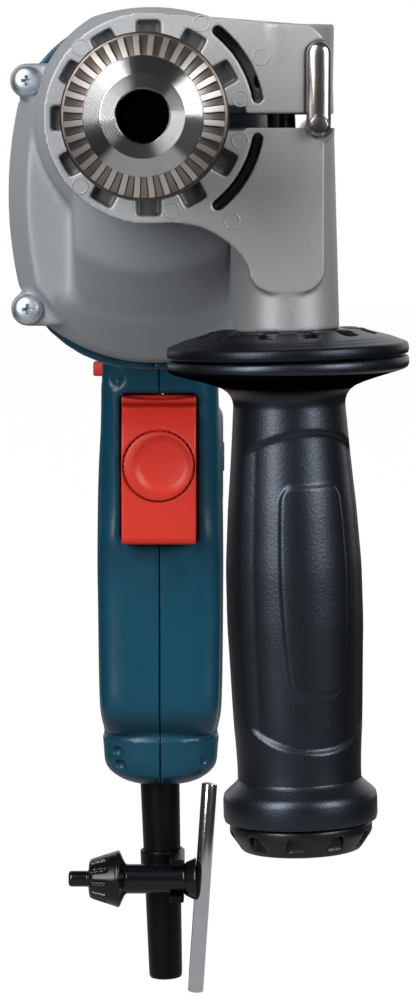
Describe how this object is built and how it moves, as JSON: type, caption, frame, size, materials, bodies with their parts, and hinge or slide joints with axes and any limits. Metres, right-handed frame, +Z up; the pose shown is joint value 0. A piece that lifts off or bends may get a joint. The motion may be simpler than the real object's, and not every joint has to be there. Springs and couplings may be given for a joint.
{
  "type": "power drill",
  "caption": "Corded pistol drill with a keyed chuck, geared spindle, trigger with speed dial, and a clamped side handle with depth stop for drilling wood, metal and masonry.",
  "frame": {"origin": "on the spindle axis, in the plane of the chuck's mouth", "axes": "+Z up, the spindle lies along Y and the chuck points to -Y, +X is on the right seen from the chuck's side, where the side handle hangs"},
  "size_m": [0.1168, 0.28, 0.3142],
  "materials": {
    "turned_steel": "bright turned steel",
    "hardened_steel": "ground and hardened steel",
    "bearing_steel": "polished bearing steel",
    "zinc_steel": "zinc plated, bluish white",
    "bright_rod": "bright drawn and plated steel rod",
    "black_oxide_steel": "black oxide on steel",
    "bronze": "sintered bronze",
    "cast_grey": "die cast, matt grey",
    "cast_clamp": "die cast, fine grained grey",
    "lamination": "stacked sheet iron",
    "copper": "varnished copper",
    "carbon": "pressed carbon",
    "teal_plastic": "fine grained teal moulding",
    "red_plastic": "satin red moulding",
    "black_plastic": "grained black moulding",
    "fan_plastic": "black moulding",
    "seal_rubber": "black rubber",
    "boot_rubber": "smooth black rubber"
  },
  "bodies": {
    "drill": {"gear_housing": "cast_grey", "gear_plate": "cast_clamp", "gear_housing_screws": "zinc_steel", "housing_left": "teal_plastic", "housing_right": "teal_plastic", "housing_screws": "zinc_steel", "front_bearing": "bearing_steel", "spindle_seal": "seal_rubber", "rear_bush": "bronze", "armature_front_bearing": "bearing_steel", "armature_rear_bearing": "bearing_steel", "field_stator": "lamination", "field_coils": "copper", "brush_holders": "bronze", "carbon_brushes": "carbon", "brush_springs": "hardened_steel", "switch_body": "fan_plastic", "trigger_spring": "hardened_steel", "strain_relief": "boot_rubber", "key_holder": "boot_rubber"},
    "spindle": {"spindle": "hardened_steel", "output_gear": "hardened_steel", "gear_circlip": "hardened_steel", "spacer_sleeve": "hardened_steel", "chuck_body": "turned_steel", "chuck_screw": "hardened_steel"},
    "armature": {"armature_shaft": "hardened_steel", "armature_core": "lamination", "armature_windings": "copper", "commutator": "copper", "cooling_fan": "fan_plastic"},
    "chuck_sleeve": {"chuck_sleeve": "turned_steel", "chuck_nut": "hardened_steel"},
    "jaw_1": {"chuck_jaw_1": "hardened_steel"},
    "jaw_2": {"chuck_jaw_2": "hardened_steel"},
    "jaw_3": {"chuck_jaw_3": "hardened_steel"},
    "trigger": {"trigger": "red_plastic"},
    "speed_dial": {"speed_dial": "red_plastic"},
    "reverse_lever": {"reverse_lever": "red_plastic"},
    "lock_button": {"lock_button": "teal_plastic"},
    "chuck_key": {"chuck_key_body": "black_oxide_steel", "key_cross_bar": "bright_rod"},
    "side_handle": {"side_handle_clamp": "cast_clamp", "clamp_bolt": "zinc_steel"},
    "flange_disc": {"flange_disc": "black_plastic"},
    "side_grip": {"side_grip": "black_plastic", "grip_nut": "zinc_steel", "side_grip_cap": "black_plastic"},
    "depth_stop": {"depth_stop_rod": "bright_rod"}
  },
  "joints": [
    {"name": "spindle_spin", "type": "hinge", "parent": "drill", "child": "spindle", "pos_m": [0, 0.1, 0], "axis": [0, -1, 0], "continuous": true},
    {"name": "armature_spin", "type": "hinge", "parent": "drill", "child": "armature", "pos_m": [0, 0.19, -0.022], "axis": [0, -1, 0], "continuous": true},
    {"name": "chuck_sleeve_turn", "type": "hinge", "parent": "spindle", "child": "chuck_sleeve", "pos_m": [0, 0.02, 0], "axis": [0, -1, 0], "range_deg": [0, 3440]},
    {"name": "trigger_pull", "type": "slide", "parent": "drill", "child": "trigger", "axis": [0, 1, 0], "range_m": [0, 0.006], "stiffness_N_per_m": 2000, "springref_m": -0.003, "deforming": ["trigger_spring"]},
    {"name": "speed_dial_turn", "type": "hinge", "parent": "trigger", "child": "speed_dial", "pos_m": [0, 0.195, -0.10805], "axis": [0, -1, 0], "range_deg": [-135, 135]},
    {"name": "reverse_lever_slide", "type": "slide", "parent": "drill", "child": "reverse_lever", "axis": [1, 0, 0], "range_m": [0, 0.004]},
    {"name": "lock_button_press", "type": "slide", "parent": "drill", "child": "lock_button", "axis": [-1, 0, 0], "range_m": [0, 0.0018], "stiffness_N_per_m": 1500, "springref_m": -0.001},
    {"name": "handle_swing", "type": "hinge", "parent": "drill", "child": "side_handle", "pos_m": [0, 0.077, 0], "axis": [0, -1, 0], "range_deg": [-10, 180]},
    {"name": "flange_disc_slide", "type": "slide", "parent": "side_handle", "child": "flange_disc", "axis": [0.0297, 0, -0.9996], "range_m": [0, 0.00125]},
    {"name": "grip_twist", "type": "hinge", "parent": "flange_disc", "child": "side_grip", "pos_m": [0.03815, 0.08105, -0.03], "axis": [0.0297, 0, -0.9996], "range_deg": [0, 360]},
    {"name": "depth_stop_slide", "type": "slide", "parent": "side_handle", "child": "depth_stop", "axis": [0, -1, 0], "range_m": [0, 0.09]},
    {"name": "chuck_key_pull", "type": "slide", "parent": "drill", "child": "chuck_key", "axis": [0, -1, 0], "range_m": [0, 0.03]},
    {"name": "jaw_1_slide", "type": "slide", "parent": "spindle", "child": "jaw_1", "axis": [-0.1923, -0.9659, -0.1732], "range_m": [0, 0.022]},
    {"name": "jaw_2_slide", "type": "slide", "parent": "spindle", "child": "jaw_2", "axis": [-0.0538, -0.9659, 0.2532], "range_m": [0, 0.022]},
    {"name": "jaw_3_slide", "type": "slide", "parent": "spindle", "child": "jaw_3", "axis": [0.2462, -0.9659, -0.08], "range_m": [0, 0.022]}
  ],
  "couplings": [
    {"joint": "armature_spin", "follows": "spindle_spin", "ratio": -6.8571},
    {"joint": "flange_disc_slide", "follows": "grip_twist", "m_per_rad": 0.00019894},
    {"joint": "jaw_1_slide", "follows": "chuck_sleeve_turn", "m_per_rad": 0.00036606},
    {"joint": "jaw_2_slide", "follows": "chuck_sleeve_turn", "m_per_rad": 0.00036606},
    {"joint": "jaw_3_slide", "follows": "chuck_sleeve_turn", "m_per_rad": 0.00036606}
  ]
}
